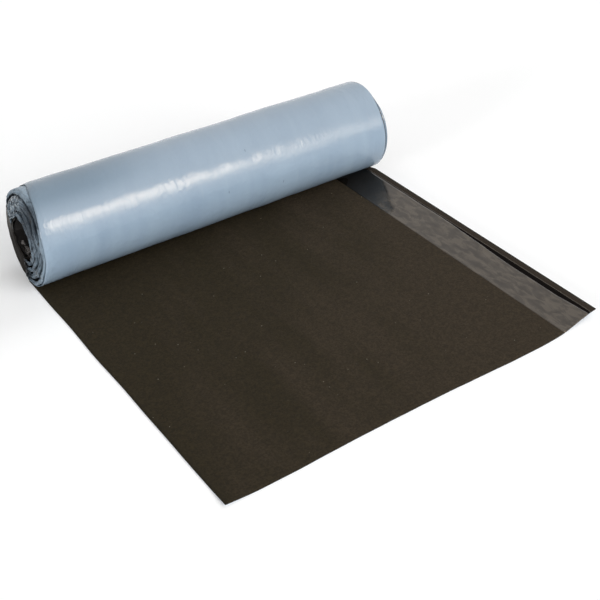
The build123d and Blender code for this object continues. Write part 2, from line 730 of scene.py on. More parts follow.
@dataclass(frozen=True)
class CrushedFilmFinish:
    """The same film where it is crushed at the roll's end: darker, glossier and stained with bitumen, with
    painted shade in its slits and in a shadowed patch, and painted glints and shade on its crown's facets.
    """

    axis: Triple
    name: str = "crushed_film"
    rim_pale: Colour = (0.255, 0.330, 0.400)
    pale: Colour = (0.195, 0.255, 0.312)
    # painted shade: dark colour of the slits, folds and shadowed places
    painted_shade_slate: Colour = (0.022, 0.032, 0.044)
    stain: Colour = (0.022, 0.019, 0.017)
    # painted glint on the crown's facets
    painted_glint: Colour = (0.420, 0.480, 0.520)
    crown: Patch = Patch((-0.49, 0.440, 0.195), reach=0.080, core=0.5)
    shadowed: Patch = Patch((-0.49, 0.328, 0.196), reach=0.052, wander=0.012)
    darkened_low: Patch = Patch((-0.50, 0.404, 0.046), reach=0.046, wander=0.016)
    rim: tuple[float, float] = (0.102, 0.110)
    facet_scale: float = 230.0
    wrinkle_scale: float = 110.0
    streaks: Pattern = Pattern(26.0, along=420.0, detail=4.0)
    tone_shift: Pattern = Pattern(60.0, detail=4.0, edges=(0.42, 0.62))
    dirt: Pattern = Pattern(34.0, detail=5.0, warp=0.8, edges=(0.56, 0.70))
    fine: Pattern = Pattern(330.0, detail=3.0)
    relief: float = 0.0013

    def material(self) -> bpy.types.Material:
        """The material of the film that hangs over the roll's end.

        Returns:
            The material.
        """
        bench = Bench.of(self.name)
        place = bench.object_place()
        inner = 1.0 - bench.apart(bench.stretch(place, (0.0, 1.0, 1.0)), self.axis).ease(*self.rim)
        streaks = bench.pattern(bench.flat_place(), self.streaks)
        tone_shift = bench.pattern(place, self.tone_shift)
        # Painted shade in the slits between the folded bands, with darker patches inside the rim.
        darkening = tone_shift * inner * 0.45 + streaks.ease(0.46, 0.60) * (inner * 0.30 + 0.32)
        base = bench.mix(darkening, bench.mix(inner, self.rim_pale, self.pale), self.painted_shade_slate)
        crown = inner * self.patched(bench, place, tone_shift, self.crown)
        # Painted glints and painted shade: each facet of the crown is coloured lighter or darker.
        facets = bench.split(bench.cells(place, self.facet_scale, "Color"), "X")
        base = bench.mix(crown * facets.ease(0.30, 0.55), base, self.painted_shade_slate)
        base = bench.mix(crown * facets.ease(0.70, 0.90), base, self.painted_glint)
        base = bench.mix(self.patched(bench, place, tone_shift, self.shadowed) * 0.8, base, self.painted_shade_slate)
        # Darker low on the end.
        base = bench.mix(self.patched(bench, place, tone_shift, self.darkened_low) * 0.85, base, self.stain)
        base = bench.mix(bench.pattern(place, self.dirt) * inner * 0.75, base, self.stain)
        wrinkle = bench.cells(place, self.wrinkle_scale) + streaks * 0.6
        wrinkle += bench.pattern(place, self.fine) * 0.4
        return bench.coat(
            Base_Color=base,
            Roughness=0.26 + tone_shift * 0.14,
            Specular_IOR_Level=0.2,
            Normal=bench.relief(wrinkle, self.relief),
        )

    @staticmethod
    def patched(bench: Bench, place: Wire, tone_shift: Wire, patch: Patch) -> Wire:
        """How much of a patch shows.

        Args:
            bench: The bench that the material's nodes go on.
            place: The object coordinates.
            tone_shift: The pattern that its rim wanders by.
            patch: The patch.

        Returns:
            The share, from 0 beyond its rim to 1 in its middle.
        """
        away = bench.apart(place, patch.middle) + (tone_shift - 0.5) * patch.wander
        return 1.0 - away.ease(patch.core * patch.reach, patch.reach)


@dataclass(frozen=True)
class ClearStripFinish:
    """Clear strip on black bitumen: it mirrors its surroundings, with smears and long scratches."""

    backing: Colour = (0.0050, 0.0038, 0.0028)
    smear: Colour = (0.066, 0.055, 0.042)
    warmth: Colour = (1.0, 0.885, 0.78)
    # painted shade: no smears near the roll, where the strip mirrors the roll
    painted_mirror_shade_until: tuple[float, float] = (0.15, 0.24)
    smears: Pattern = Pattern(45.0, along=8.0, detail=4.0, warp=0.5, edges=(0.45, 0.80))
    scratches: Pattern = Pattern(900.0, along=14.0, edges=(0.62, 0.80))
    waves: Pattern = Pattern(16.0, along=22.0)
    blotches: Pattern = Pattern(60.0, along=26.0, detail=5.0, warp=0.6, edges=(0.36, 0.64))
    relief: float = 0.0011

    def material(self) -> bpy.types.Material:
        """The material of the clear strip.

        Returns:
            The material.
        """
        bench = Bench.of("clear_selvage_film")
        place = bench.flat_place()
        smears = bench.pattern(place, self.smears)
        scratches = bench.pattern(place, self.scratches)
        blotches = bench.pattern(place, self.blotches)
        # Painted shade: the smears and scratches are left out near the roll, which keeps the strip dark
        # where it mirrors the roll.
        beyond_roll = bench.split(place, "Y").ease(*self.painted_mirror_shade_until)
        cloud = (blotches * 0.75 + smears * 0.25 + scratches * 0.3) * beyond_roll
        return bench.coat(
            Base_Color=bench.mix(cloud, self.backing, self.smear),
            Roughness=0.14 + smears * 0.12 + scratches * 0.12,
            IOR=1.66,
            Specular_Tint=self.warmth,
            Normal=bench.relief(bench.pattern(place, self.waves), self.relief),
        )


@dataclass(frozen=True)
class FloorFinish:
    """White studio floor that looks white to the camera and in mirrors, and still takes the shadow."""

    white: Colour = (0.80, 0.80, 0.80)
    glow: float = 0.22

    def material(self) -> bpy.types.Material:
        """The floor's material.

        Returns:
            The material.
        """
        bench = Bench.of("studio_floor")
        paint = bench.add("ShaderNodeBsdfDiffuse", inputs={"Color": self.white})
        glow = bench.seen() * self.glow
        light = bench.add("ShaderNodeEmission", inputs={"Color": WHITE, "Strength": glow})
        return bench.shown(bench.add("ShaderNodeAddShader", inputs={"Shader": paint, "Shader_001": light}))


def flat_grid(
    columns: int,
    rows: int,
    width: float,
    length: float,
    spread: Optional[Callable[[float], float]] = None,
) -> bmesh.types.BMesh:
    """A grid from (0, 0) to (1, 1) with a map that gives its place on the flat sheet in metres.

    Its faces are turned over, because every piece runs clockwise from its first share to its second.

    Args:
        columns: How many faces it has across.
        rows: How many faces it has along.
        width: The sheet's real width.
        length: The sheet's real length.
        spread: Where each column stands, as a share for its share of the columns; else evenly.

    Returns:
        The grid.
    """
    form = bmesh.new()
    bmesh.ops.create_grid(form, x_segments=columns, y_segments=rows, size=0.5)
    bmesh.ops.translate(form, verts=form.verts, vec=(0.5, 0.5, 0.0))
    bmesh.ops.reverse_faces(form, faces=form.faces)
    if spread:
        for vertex in form.verts:
            vertex.co.x = spread(vertex.co.x)
    layer = form.loops.layers.uv.new(FLAT_MAP)
    for face in form.faces:
        for loop in face.loops:
            loop[layer].uv = (loop.vert.co.x * width, loop.vert.co.y * length)
    return form


def shape(form: bmesh.types.BMesh, place: Place) -> None:
    """Moves each vertex of a unit grid to where its two shares put it, and welds what then meets.

    Args:
        form: The unit grid.
        place: The point in metres for two shares.
    """
    for vertex in form.verts:
        vertex.co = place(vertex.co.x, vertex.co.y)
    bmesh.ops.remove_doubles(form, verts=form.verts, dist=WELD)


def joined(parts: list[bmesh.types.BMesh]) -> bmesh.types.BMesh:
    """One mesh of several, which are used up.

    Args:
        parts: The meshes.

    Returns:
        The one mesh.
    """
    whole = bmesh.new()
    for form in parts:
        part = bpy.data.meshes.new("part")
        form.to_mesh(part)
        form.free()
        whole.from_mesh(part)
        bpy.data.meshes.remove(part)
    return whole


def make_piece(
    name: str,
    form: bmesh.types.BMesh,
    finish: bpy.types.Material,
    stock: Stock,
    thickness: float = 0.0,
) -> bpy.types.Object:
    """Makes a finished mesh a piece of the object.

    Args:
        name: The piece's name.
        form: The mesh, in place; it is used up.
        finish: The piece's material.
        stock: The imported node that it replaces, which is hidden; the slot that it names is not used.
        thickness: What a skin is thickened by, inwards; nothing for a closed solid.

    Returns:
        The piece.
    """
    mesh = bpy.data.meshes.new(name)
    form.to_mesh(mesh)
    form.free()
    mesh.shade_smooth()
    mesh.set_sharp_from_angle(angle=SHARP_TURN)
    mesh.materials.append(finish)
    piece = bpy.data.objects.new(name, mesh)
    bpy.context.scene.collection.objects.link(piece)
    if thickness:
        wall = piece.modifiers.new("thickness", "SOLIDIFY")
        wall.thickness = thickness
        wall.offset = -1
    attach(piece, "root")
    node, slot = stock.value
    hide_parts(node)
    log.info("%s: %d faces", name, len(mesh.polygons))
    return piece


@dataclass
class WoundRoll:
    """The membrane wound on itself: its turns on both ends, its outer wall and its bore."""

    sizes: RollFrame
    layers: Layers
    steps: int = 144
    groove_depth: float = 0.0030
    edge_round: float = 0.0003
    shoulder_left: float = 0.024
    shoulder_right: float = 0.006
    wander: float = 0.0014
    bore_spans: int = 14
    bore_waves: float = 0.0012
    cover_gap: float = 0.0016
    overhang: float = 0.011
    dish: float = 1.4
    crushed_rim: tuple[float, float] = (0.012, 0.004)
    crushed_in: float = 0.030
    bared: float = 0.0042
    bared_turn: tuple[float, float] = (258, 80)
    bared_rim: tuple[float, float] = (0.0050, 0.0038)

    @property
    def turns(self) -> int:
        """How many turns fit between the outer film and the bore."""
        wound = self.sizes.radius - self.sizes.bore - self.layers.film
        return int(wound / self.layers.pitch)

    def slump(self, end: End, radius: float, turned: float) -> float:
        """How far the end has slumped in here: dished at the left end, rounded off at the right one.

        Args:
            end: Which end it is.
            radius: The distance from the roll's axis.
            turned: The angle round the roll, from its lowest line up its back.

        Returns:
            The depth inside the flat end.
        """
        raised = (1 - math.cos(turned)) / 2
        if end is End.LEFT:
            outwards = max(radius - self.sizes.bore, 0.0) / (self.sizes.radius - self.sizes.bore)
            return self.shoulder_left * raised * outwards ** self.dish
        over = self.shoulder_right * raised - (self.sizes.radius - radius)
        return self.shoulder_right - math.sqrt(self.shoulder_right ** 2 - over ** 2) if over > 0 else 0.0

    def turn_shift(self, end: End, wound: float) -> float:
        """How far one turn's edge lies inside the end, this many turns in.

        Args:
            end: Which end it is.
            wound: How many turns lie outside it.

        Returns:
            The depth inside the end's own form.
        """
        seed = 3.0 + end.value
        slow = ripple(seed, wound * 0.37)
        quick = ripple(seed + 9.0, wound * 2.9)
        return self.wander * (1 + 0.6 * (slow + 0.7 * quick))

    def recess(self, end: End, radius: float, turned: float) -> float:
        """How far the membrane ends inside the film that hangs over it at the slumped end.

        Args:
            end: Which end it is.
            radius: The distance from the roll's axis.
            turned: The angle round the roll, from its lowest line up its back.

        Returns:
            The depth inside the end's own form.
        """
        if end is End.RIGHT:
            unwound = radius + self.layers.pitch * turned / FULL_TURN
            start, full = (self.sizes.radius - inset for inset in self.bared_rim)
            return self.bared * near_turn(turned, *self.bared_turn) * ease(unwound, start, full)
        raised = (1 - math.cos(turned)) / 2
        start, full = (self.sizes.radius - inset for inset in self.crushed_rim)
        overhang = self.overhang * (1 - 0.7 * smooth_back(turned))
        return overhang + self.crushed_in * ease(radius, start, full) * raised

    def tooth(self, turn: int) -> list[tuple[float, float]]:
        """One turn's edge as radius and depth, from its outer face to the groove inside it.

        Args:
            turn: How many turns lie outside it.

        Returns:
            The corners, each as radius and depth inside the end.
        """
        outer = self.sizes.radius - self.layers.film - turn * self.layers.pitch
        inner = outer - self.layers.membrane
        return [
            (outer, self.groove_depth),
            (outer, self.edge_round),
            (outer - self.edge_round, 0.0),
            (inner + self.edge_round, 0.0),
            (inner, self.edge_round),
            (inner, self.groove_depth),
        ]

    def profile(self, form: bmesh.types.BMesh) -> list[bmesh.types.BMEdge]:
        """Draws the roll's section above its axis: one end's teeth, the bore and the other end's.

        Args:
            form: The mesh that it is drawn in.

        Returns:
            The section's edges, as a closed loop.
        """
        teeth = [point for turn in range(self.turns) for point in self.tooth(turn)]
        teeth.append((teeth[-1][0] - self.layers.film, self.groove_depth))
        half = self.sizes.half_width
        bore_x = half - self.groove_depth
        spans = [blend(-bore_x, bore_x, n / self.bore_spans) for n in range(1, self.bore_spans)]
        points = [(-half + depth, radius) for radius, depth in teeth]
        points += [(x, teeth[-1][0]) for x in spans]
        points += [(half - depth, radius) for radius, depth in reversed(teeth)]
        corners = [form.verts.new((x, 0.0, -radius)) for x, radius in points]
        return [form.edges.new(pair) for pair in zip(corners, corners[1:] + corners[:1])]

    def wind(self, vertex: bmesh.types.BMVert, last: bool) -> None:
        """Moves a point of the turned solid onto the spiral and its turn's own depth.

        Args:
            vertex: The point.
            last: Whether it is on the spin's last section, a full turn on.
        """
        radius = math.hypot(vertex.co.y, vertex.co.z)
        turned = FULL_TURN if last else math.atan2(vertex.co.y, -vertex.co.z) % FULL_TURN
        turn = int((self.sizes.radius - radius) / self.layers.pitch)
        outer_wall = radius > self.sizes.radius - self.layers.film - WELD
        radius -= self.layers.pitch * turned / FULL_TURN
        if outer_wall:
            radius -= self.cover_gap * ease(turned, 0.1, 0.6) * (1 - ease(turned, 5.3, 5.9))
        end = End.LEFT if vertex.co.x < 0 else End.RIGHT
        if abs(vertex.co.x) >= self.sizes.half_width - self.groove_depth - WELD:
            inwards = self.slump(end, radius, turned) + self.recess(end, radius, turned)
            inwards += self.turn_shift(end, turn + turned / FULL_TURN)
            x = vertex.co.x - end.value * inwards
        else:
            x = vertex.co.x
            radius += self.bore_waves * ripple(5.0, x * 9.0, math.sin(turned) + 2 * math.cos(turned))
        vertex.co = self.sizes.on_roll(turned, radius, x)

    def build(self, finish: bpy.types.Material) -> bpy.types.Object:
        """The wound membrane as one closed solid.

        Args:
            finish: The piece's material.

        Returns:
            The piece.
        """
        form = bmesh.new()
        edges = self.profile(form)
        # The last section stays apart from the first, because the spiral has come in by one turn there.
        spun = bmesh.ops.spin(
            form, geom=edges, cent=(0, 0, 0), axis=(1, 0, 0), dvec=(0, 0, 0),
            angle=FULL_TURN, steps=self.steps, use_merge=False,
        )
        last = {item for item in spun["geom_last"] if isinstance(item, bmesh.types.BMVert)}
        for vertex in form.verts:
            self.wind(vertex, vertex in last)
        bmesh.ops.remove_doubles(form, verts=form.verts, dist=WELD)
        rims = [edge for edge in form.edges if edge.is_boundary]
        bmesh.ops.holes_fill(form, edges=rims, sides=0)
        bmesh.ops.recalc_face_normals(form, faces=form.faces)
        return make_piece("wound_membrane", form, finish, Stock.MEMBRANE)


@dataclass
class OuterWrap:
    """The release film on the roll's outer turn, with its slanted edges and slight lumps."""

    sizes: RollFrame
    layers: Layers
    columns: int = 210
    rows: int = 176
    lean_left: float = 0.036
    lean_right: float = 0.0034
    bared_right: float = 0.0064
    bared_turn: tuple[float, float] = (258, 75)
    skew: float = 0.026
    low_skew: float = 0.004
    low_turn: tuple[float, float] = (52, 75)
    wander_left: float = 0.0016
    wander_right: float = 0.0007
    lump: float = 0.0007
    band: float = 0.00018
    dip: float = 0.0028
    dip_reach: float = 0.016

    def left_edge(self, turned: float) -> float:
        """Where the film ends towards the slumped end.

        Args:
            turned: The angle round the roll, from its lowest line up its back.

        Returns:
            The edge's X.
        """
        raised = (1 - math.cos(turned)) / 2
        wander = self.wander_left * ripple(1.5, 2.2 * math.cos(turned), 2.2 * math.sin(turned))
        backward = self.skew * math.sin(turned) * raised ** 3
        backward += self.low_skew * near_turn(turned, *self.low_turn)
        return -self.sizes.half_width + self.lean_left * raised ** 1.8 + backward + wander * raised ** 0.5

    def right_edge(self, turned: float) -> float:
        """Where the film ends towards the neat end.

        Args:
            turned: The angle round the roll, from its lowest line up its back.

        Returns:
            The edge's X.
        """
        raised = (1 - math.cos(turned)) / 2
        wander = self.wander_right * ripple(2.5, 5 * math.cos(turned), 5 * math.sin(turned))
        bared = self.bared_right * near_turn(turned, *self.bared_turn)
        return self.sizes.half_width - self.lean_right * raised - bared + wander * raised ** 0.5

    def relief(self, x: float, turned: float) -> float:
        """How far the film stands off the true spiral.

        Args:
            x: The place along the roll.
            turned: The angle round the roll, from its lowest line up its back.

        Returns:
            The height, which may be below zero.
        """
        arc = self.sizes.radius * turned
        lumps = self.lump * ripple(11.0, x * 7.0, arc * 9.0)
        lumps += 0.5 * self.lump * ripple(12.0, x * 19.0, arc * 17.0)
        bands = self.band * ripple(13.0, x * 34.0, arc * 3.0)
        leaving = ease(turned, FULL_TURN - 0.6, FULL_TURN - self.layers.crevice)
        return (lumps + bands) * (ease(turned, 0.0, 0.5) * (1 - leaving))

    def place(self, across: float, along: float) -> Vector:
        """The point of the wrap at two shares of its width and length.

        Args:
            across: The share of the film's width.
            along: The share of the way round.

        Returns:
            The point, in metres.
        """
        turned = along * (FULL_TURN - self.layers.crevice)
        x = blend(self.left_edge(turned), self.right_edge(turned), across)
        radius = self.sizes.radius - self.layers.pitch * turned / FULL_TURN
        tuck = self.tuck(x - self.left_edge(turned), turned)
        return self.sizes.on_roll(turned, radius + self.relief(x, turned) - tuck, x)

    def tuck(self, inside: float, turned: float) -> float:
        """How far the film dips over the slumped shoulder, near its left edge."""
        raised = (1 - math.cos(turned)) / 2
        return self.dip * raised * (1 - ease(inside, 0.0, self.dip_reach))

    def build(self, finish: bpy.types.Material) -> bpy.types.Object:
        """The film round the outer turn.

        Args:
            finish: The piece's material.

        Returns:
            The piece.
        """
        arc = self.sizes.radius * (FULL_TURN - self.layers.crevice)
        form = flat_grid(self.columns, self.rows, 2 * self.sizes.half_width, arc)
        shape(form, self.place)
        return make_piece("outer_wrap", form, finish, Stock.FILM, self.layers.film)


@dataclass(frozen=True)
class Frill:
    """One turn's film where it is folded in over the slumped end."""

    inset: float
    fold: float
    stand_out: float
    crown_fold: float = 0.0
    crown_share: float = 1.0


FRILLS = (
    Frill(inset=0.0046, fold=0.0095, stand_out=0.0030, crown_share=0.75),
    Frill(inset=0.0200, fold=0.0120, stand_out=0.0044, crown_fold=0.036),
    Frill(inset=0.0370, fold=0.0110, stand_out=0.0040),
    Frill(inset=0.0530, fold=0.0095, stand_out=0.0026),
)


@dataclass
class EndFrills:
    """The release film of several turns, crushed and folded in over the slumped end."""

    sizes: RollFrame
    layers: Layers
    roll: WoundRoll
    wrap: OuterWrap
    columns: int = 380
    rows: int = 26
    tail: float = 0.008
    lip: float = 0.22
    crush: float = 0.0085
    pleat: float = 0.0026
    sunk: float = 0.0060
    least_out: float = 0.0006
    film: float = 0.00018

    def root(self, number: int, turned: float) -> tuple[float, float]:
        """The radius and X where one frill comes out from between the turns.

        Args:
            number: Which frill it is, from the outermost.
            turned: The angle round the roll, from its lowest line up its back.

        Returns:
            The radius and X.
        """
        radius = self.sizes.radius - FRILLS[number].inset
        radius -= self.layers.pitch * turned / FULL_TURN
        if number == 0:
            return radius, self.wrap.left_edge(turned)
        return radius, self.slumped(radius, turned)

    def slumped(self, radius: float, turned: float) -> float:
        """The X of the slumped end at this radius."""
        return -self.sizes.half_width + self.roll.slump(End.LEFT, radius, turned)

    def rest_line(self, number: int, turned: float, along: float) -> Vector:
        """Radius and X along one frill before it is crushed: out from its turn, then inwards.

        Args:
            number: Which frill it is, from the outermost.
            turned: The angle round the roll, from its lowest line up its back.
            along: The share of the frill's length.

        Returns:
            The radius and X.
        """
        seed = 17.0 * number
        around = (math.cos(turned), math.sin(turned))
        kind = FRILLS[number]
        radius, edge = self.root(number, turned)
        fold = kind.fold * (1 + 0.28 * ripple(seed, 2.3 * around[0], 2.3 * around[1]))
        fold += kind.crown_fold * near_turn(turned, 136, 56)
        out = kind.stand_out * (1 + 0.8 * ripple(seed + 5, 3.1 * around[0], 3.1 * around[1]))
        out = blend(self.least_out, out, near_turn(turned, 285, 95))
        out -= self.sunk * smooth_back(turned)
        travel = max(along - 0.5 * self.lip, 0.0) / (1 - 0.5 * self.lip)
        reach = radius - fold * travel ** 1.2
        leaves = math.sin(min(along / self.lip, 1.0) * math.pi / 2)
        bulge = out * math.sin(math.pi * blend(0.25, 0.92, travel))
        outside = min(edge, self.slumped(reach, turned)) - bulge
        return Vector((reach, blend(edge + self.tail, outside, leaves)))

    def place(self, number: int, across: float, along: float) -> Vector:
        """A point of one frill, round the roll by across and out and over by along.

        Args:
            number: Which frill it is, from the outermost.
            across: The share of the way round.
            along: The share of the frill's length.

        Returns:
            The point, in metres.
        """
        turned = across * FULL_TURN
        around = Vector((math.cos(turned), math.sin(turned), 0.0))
        seed = 17.0 * number
        at = self.rest_line(number, turned, along)
        loose = ease(along, 0.10, 0.5) * (1 - 0.92 * smooth_back(turned))
        crown = near_turn(turned, 136, 62) * FRILLS[number].crown_share
        wild = max(crown, 0.6 * near_turn(turned, 348, 34), 0.16)
        spot = Vector((at.x * around.x, at.x * around.y, at.y + seed))
        crushed = self.crush * loose * wild
        ring = 3.0 * around + Vector((0, 0, 5.0 * along + seed))
        pleats = self.pleat * loose * (1 - abs(2.4 * noise.noise(ring)))
        reach = at.x + 0.6 * crushed * (crumple(spot * 95) - 0.7)
        reach += 0.2 * crushed * ripple(seed, *(spot.xy * 190))
        reach -= 0.7 * pleats
        facets = 0.6 * crumple(spot * 115 + around) + 0.4 * crumple(spot * 230 - around)
        slide = crushed * (facets - 0.55) + pleats - 0.5 * self.pleat * loose
        spin = 0.25 * crushed / self.sizes.radius * ripple(seed + 2, *(spot.xy * 90))
        point = self.sizes.on_roll(turned + spin, reach, at.y - slide)
        point.z = max(point.z, self.layers.pitch)
        return point

    def build(self, finish: bpy.types.Material) -> bpy.types.Object:
        """All the frills as one mesh.

        Args:
            finish: The piece's material.

        Returns:
            The piece.
        """
        parts = []
        for number in range(len(FRILLS)):
            length = self.tail + FRILLS[number].fold
            form = flat_grid(self.columns, self.rows, FULL_TURN * self.sizes.radius, length)
            shape(form, lambda across, along: self.place(number, across, along))
            parts.append(form)
        return make_piece("end_frills", joined(parts), finish, Stock.FILM, self.film)


@dataclass
class SmoothBack:
    """The smeared bitumen that hides the turns low on the back of the slumped end."""

    sizes: RollFrame
    roll: WoundRoll
    first_turn: float = math.radians(-8)
    last_turn: float = math.radians(122)
    columns: int = 96
    rows: int = 24
    cover: float = 0.0008
    thickness: float = 0.0012
    rim_inset: float = 0.0035
    bore_inset: float = 0.004
    bore_wander: float = 0.003
    side_sink: float = 0.0030
    end_sink: float = 0.0050
    lump: float = 0.0005

    def place(self, across: float, along: float) -> Vector:
        """A point of the cover, by shares round the roll and from its rim to its bore.

        Args:
            across: The share of the way round.
            along: The share of the way from rim to bore.

        Returns:
            The point, in metres.
        """
        turned = blend(self.first_turn, self.last_turn, across)
        radius = blend(self.sizes.radius - self.rim_inset, self.sizes.bore + self.bore_inset, along)
        radius -= self.bore_wander * along * (1 + ripple(51.0, turned * 4))
        middle = 1 - ease(abs(across - 0.5), 0.38, 0.5)
        sunk = self.side_sink * ease(abs(along - 0.5), 0.34, 0.5) ** 2 + self.end_sink * (1 - middle)
        lumps = self.lump * ripple(52.0, turned * 5, radius * 60)
        x = -self.sizes.half_width + self.roll.slump(End.LEFT, radius, turned)
        return self.sizes.on_roll(turned, radius, x - self.cover + sunk + lumps)

    def build(self, finish: bpy.types.Material) -> bpy.types.Object:
        """The cover as one skin.

        Args:
            finish: The piece's material.

        Returns:
            The piece.
        """
        arc = (self.last_turn - self.first_turn) * self.sizes.radius
        form = flat_grid(self.columns, self.rows, arc, self.sizes.radius - self.sizes.bore)
        shape(form, self.place)
        return make_piece("smooth_back", form, finish, Stock.MEMBRANE, self.thickness)


@dataclass
class NextTurn:
    """The film of the turn under the outer one, where it shows beyond the outer film's neat end."""

    sizes: RollFrame
    layers: Layers
    wrap: OuterWrap
    first_turn: float = math.radians(185)
    last_turn: float = math.radians(350)
    inside: float = 0.020
    beyond: float = 0.0094
    tucked: float = -0.002
    drop: float = 0.0024
    flare: float = 0.0014
    wander: float = 0.0003
    columns: int = 24
    rows: int = 120

    def place(self, across: float, along: float) -> Vector:
        """A point of the film, by shares along the roll and round it.

        Args:
            across: The share of the film's width.
            along: The share of the way round.

        Returns:
            The point, in metres.
        """
        turned = blend(self.first_turn, self.last_turn, along)
        shown = ease(along, 0.0, 0.35) * (1 - ease(along, 0.75, 1.0))
        end = self.wrap.right_edge(turned) + blend(self.tucked, self.beyond, shown)
        radius = self.sizes.radius - self.drop - self.layers.pitch * turned / FULL_TURN
        x = blend(self.sizes.half_width - self.inside, min(end, self.sizes.half_width), across)
        radius += self.flare * shown * ease(across, 0.55, 1.0) + self.wander * ripple(61.0, turned * 9)
        return self.sizes.on_roll(turned, radius, x)

    def build(self, finish: bpy.types.Material) -> bpy.types.Object:
        """The film as one skin.

        Args:
            finish: The piece's material.

        Returns:
            The piece.
        """
        arc = (self.last_turn - self.first_turn) * self.sizes.radius
        form = flat_grid(self.columns, self.rows, self.inside, arc)
        shape(form, self.place)
        return make_piece("next_turn", form, finish, Stock.FILM, self.layers.film)


@dataclass
class TornTails:
    """Torn bits of film that stick up from the innermost turns into the mouth of the bore."""

    sizes: RollFrame
    roots: tuple[float, ...] = (-20.0, -6.0, 12.0, 34.0)
    width: float = 0.017
    length: float = 0.027
    depth: float = 0.012
    columns: int = 16
    rows: int = 26
    crush: float = 0.0065
    bend: float = math.radians(78)
    root_gap: float = 0.001
    film: float = 0.00018

    def place(self, number: int, across: float, along: float) -> Vector:
        """A point of one tail, by shares across it and out from its root.

        Args:
            number: Which tail it is.
            across: The share of the tail's width.
            along: The share of the tail's length.

        Returns:
            The point, in metres.
        """
        seed = 41.0 + 5 * number
        length = self.length * (0.75 + 0.5 * abs(ripple(seed + 0.5)))
        taper = 1 - 0.6 * along
        turned = math.radians(self.roots[number]) + (across - 0.5) * taper * self.width / self.sizes.bore
        bend = self.bend * ease(along, 0.0, 0.7)
        radius = self.sizes.bore + self.root_gap - length * along * math.sin(bend)
        x = -self.sizes.half_width + self.depth - 0.5 * length * along * math.cos(bend)
        spot = Vector((across * self.width, along * length, seed / 60))
        crushed = self.crush * ease(along, 0.05, 0.5)
        radius += crushed * (crumple(spot * 130) - 0.5)
        x += crushed * (crumple(spot * 110 + Vector((3, 1, 2))) - 0.5)
        twist = 0.16 * ripple(seed + 1, along * 3) + 0.09 * ripple(seed + 2, along * 9, across * 5)
        return self.sizes.on_roll(turned + twist, radius, x)

    def build(self, finish: bpy.types.Material) -> bpy.types.Object:
        """All the tails as one mesh.

        Args:
            finish: The piece's material.

        Returns:
            The piece.
        """
        parts = []
        for number in range(len(self.roots)):
            form = flat_grid(self.columns, self.rows, self.width, self.length)
            shape(form, lambda across, along: self.place(number, across, along))
            parts.append(form)
        return make_piece("torn_tails", joined(parts), finish, Stock.FILM, self.film)


@dataclass
class LaidForm:
    """The curl, waves and edges of the laid sheet, which its layers share."""

    sizes: RollFrame
    curl_margin: float = 0.125
    curl_radius: float = 0.260
    curl_angle: float = math.radians(7.2)
    flat_run: float = 0.022
    curl_run: float = 0.075
    wave: float = 0.0022
    tip_lift: float = 0.004
    tip_reach: float = 0.075
    hairline: float = 0.983
    bead: float = 0.0005
    bead_sides: tuple[float, float] = (0.0002, 0.0009)
    bow: float = 0.0042
    swells: tuple[Triple, ...] = ((0.0068, 0.770, 0.160), (0.0038, 0.110, 0.130))
    bow_wander: float = 0.0005
    corner_back: float = 0.0085
    side_wander: float = 0.0010
    side_inset: float = 0.0015
    strip_out: float = 0.006
    strip_in: float = 0.011
    strip_gap: float = 0.0012
    strip_wander: float = 0.0004

    @property
    def width(self) -> float:
        """The sheet's full width."""
        return 2 * self.sizes.half_width

    def lift(self, across: float, along: float) -> float:
        """How far the sheet stands off the floor by its waves and its lifted tip.

        Args:
            across: The distance from the sheet's left edge.
            along: The distance along it, from under the roll's axis.

        Returns:
            The height above the floor.
        """
        rolling = max(ripple(21.0, across * 3.2, along * 2.6) - 0.1, 0.0)
        free = ease(along, 0.05, 0.30) * (1 - ease(across, 0.55, 0.85)) * ease(across, 0.0, 0.15)
        tip = math.hypot(across, self.sizes.laid_length - along) / self.tip_reach
        return self.wave * rolling * free + self.tip_lift * max(1 - tip, 0.0) ** 2

    def bulge(self, across: float, along: float) -> float:
        """How far the cut front edge bows forward of a straight line, with swells of their own reach.

        Args:
            across: The distance from the sheet's left edge.
            along: The distance along it, from under the roll's axis.

        Returns:
            How much further out the sheet reaches.
        """
        bow = self.bow
        for height, middle, reach in self.swells:
            bow += height * math.exp(-(((across - middle) / reach) ** 2))
        bow += self.bow_wander * ripple(23.0, across * 14) - self.corner_back * ease(across, 0.85, 1.0)
        return bow * ease(along, 0.6 * self.sizes.laid_length, self.sizes.laid_length)

    def edge_wander(self, across: float, along: float) -> float:
        """How far the sheet's left edge strays from a straight line, fading out across it."""
        return (self.side_wander * ripple(25.0, along * 7) - self.side_inset) * (1 - ease(across, 0.0, 0.1))

    def place(self, across: float, along: float, height: float) -> Vector:
        """A point of the sheet, by metres across, along and above its underside.

        Args:
            across: The distance from the sheet's left edge.
            along: The distance along it, from under the roll's axis.
            height: The height above the sheet's underside.

        Returns:
            The point, in metres.
        """
        rise = min(max((along - self.flat_run) / (self.curl_run - self.flat_run), 0.0), 1.0)
        angle = self.curl_angle * rise
        over = max(across - (self.width - self.curl_margin), 0.0)
        turned = min(over / self.curl_radius, angle)
        beyond = over - self.curl_radius * turned
        reach = self.curl_radius - height
        x = min(across, self.width - self.curl_margin) - self.sizes.half_width
        x += reach * math.sin(turned) + beyond * math.cos(angle)
        z = self.curl_radius - reach * math.cos(turned) + beyond * math.sin(angle)
        return Vector((
            x + self.edge_wander(across, along),
            self.sizes.axis_y - along - self.bulge(across, along),
            z + self.lift(across, along),
        ))

    def strip_far(self, along: float) -> float:
        """Where the clear strip's outer edge lies across the sheet, at this distance along it.

        Args:
            along: The distance along it, from under the roll's axis.

        Returns:
            The distance from the sheet's left edge.
        """
        far = self.sizes.half_width + self.sizes.strip_far
        shift = self.strip_out * ease(along, 0.78, 0.88) - self.strip_in * ease(along, 0.36, 0.68)
        return far + (shift - self.strip_gap) + self.strip_wander * ripple(32.0, along * 12)

    def ridge(self, across: float) -> float:
        """How high the hairline stands, just outside the bare seam."""
        return self.bead * (1 - ease(abs(across - self.hairline), *self.bead_sides))


